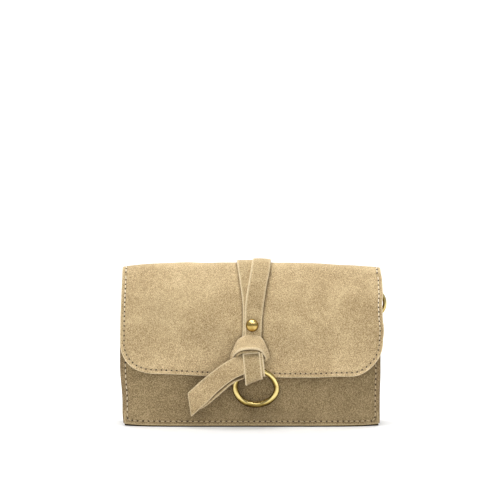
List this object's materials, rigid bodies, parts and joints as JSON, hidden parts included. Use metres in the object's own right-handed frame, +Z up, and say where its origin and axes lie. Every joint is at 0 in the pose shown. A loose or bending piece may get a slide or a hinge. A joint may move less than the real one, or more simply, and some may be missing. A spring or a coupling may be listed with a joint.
{
  "type": "wristlet wallet",
  "caption": "Suede flap wallet standing upright, with crossed straps, a dome rivet and a knot that holds a brass ring, a wrist-strap ring, a snap and an inner zip pocket.",
  "frame": {"origin": "centre of the flat base the wallet stands on, on the middle of its width", "axes": "+X along the width towards the wrist-strap ring, -Y towards the viewer in front of the flap, +Z up"},
  "size_m": [0.1935, 0.0569, 0.1211],
  "materials": {
    "suede": "brushed suede with a short matt nap",
    "lining": "smooth matt lining leather",
    "thread": "waxed polyester thread",
    "zip_tape": "woven herringbone tape",
    "brass": "antique brass, lightly brushed and polished on the high spots"
  },
  "bodies": {
    "body": {"front_panel": "suede", "front_lining": "lining", "back_panel": "suede", "back_lining": "lining", "base_panel": "suede", "left_gusset": "suede", "right_gusset": "suede", "front_stitching": "thread", "back_stitching": "thread", "pocket_front_wall": "lining", "pocket_back_wall": "lining", "pocket_edge": "lining", "card_slot_low": "lining", "card_slot_middle": "lining", "card_slot_high": "lining", "zip_tape_front": "zip_tape", "zip_tape_back": "zip_tape", "zip_teeth_front": "brass", "zip_teeth_back": "brass", "zip_stops": "brass", "snap_socket": "brass", "snap_socket_washer": "brass", "wrist_ring_tab": "suede", "strap_back_left": "suede", "strap_back_right": "suede", "strap_anchor_rivets": "brass", "fold": "suede", "fold_lining": "lining", "strap_fold_left": "suede", "strap_fold_right": "suede"},
    "flap": {"flap_panel": "suede", "flap_lining": "lining", "flap_stitching": "thread", "snap_stud": "brass", "snap_stud_washer": "brass", "strap_left": "suede", "strap_right": "suede", "dome_rivet": "brass", "rivet_base": "brass", "knot_wrap": "suede", "ring_loop": "suede"},
    "tail": {"tail_upper": "suede", "tail_lower": "suede"},
    "ring": {"o_ring": "brass"},
    "wrist_ring": {"d_ring": "brass"},
    "slider": {"zip_slider": "brass"},
    "pull": {"zip_pull": "brass"}
  },
  "joints": [
    {"name": "flap_fold", "type": "hinge", "parent": "body", "child": "flap", "pos_m": [0, 0, 0.117], "axis": [-1, 0, 0], "range_deg": [0, 175], "deforming": ["fold", "fold_lining", "strap_fold_left", "strap_fold_right"]},
    {"name": "ring_swing", "type": "hinge", "parent": "flap", "child": "ring", "pos_m": [0.0012, -0.03046, 0.04172], "axis": [-0.994, 0.0463, -0.0993], "range_deg": [0, 75]},
    {"name": "tail_lift", "type": "hinge", "parent": "flap", "child": "tail", "pos_m": [-0.007, -0.0355, 0.045], "axis": [-0.994, 0.0463, -0.0993], "range_deg": [0, 75]},
    {"name": "wrist_ring_swing", "type": "hinge", "parent": "body", "child": "wrist_ring", "pos_m": [0.0877, 0.00104, 0.088], "axis": [0, 0, 1], "range_deg": [-48, 48]},
    {"name": "zip_slide", "type": "slide", "parent": "body", "child": "slider", "axis": [-1, 0, 0], "range_m": [0, 0.128], "deforming": ["zip_teeth_front", "zip_teeth_back"]},
    {"name": "pull_flip", "type": "hinge", "parent": "slider", "child": "pull", "pos_m": [0.062, 0, 0.0884], "axis": [0, 1, 0], "range_deg": [0, 180]}
  ],
  "couplings": [
    {"joint": "tail_lift", "follows": "ring_swing", "ratio": 1}
  ]
}
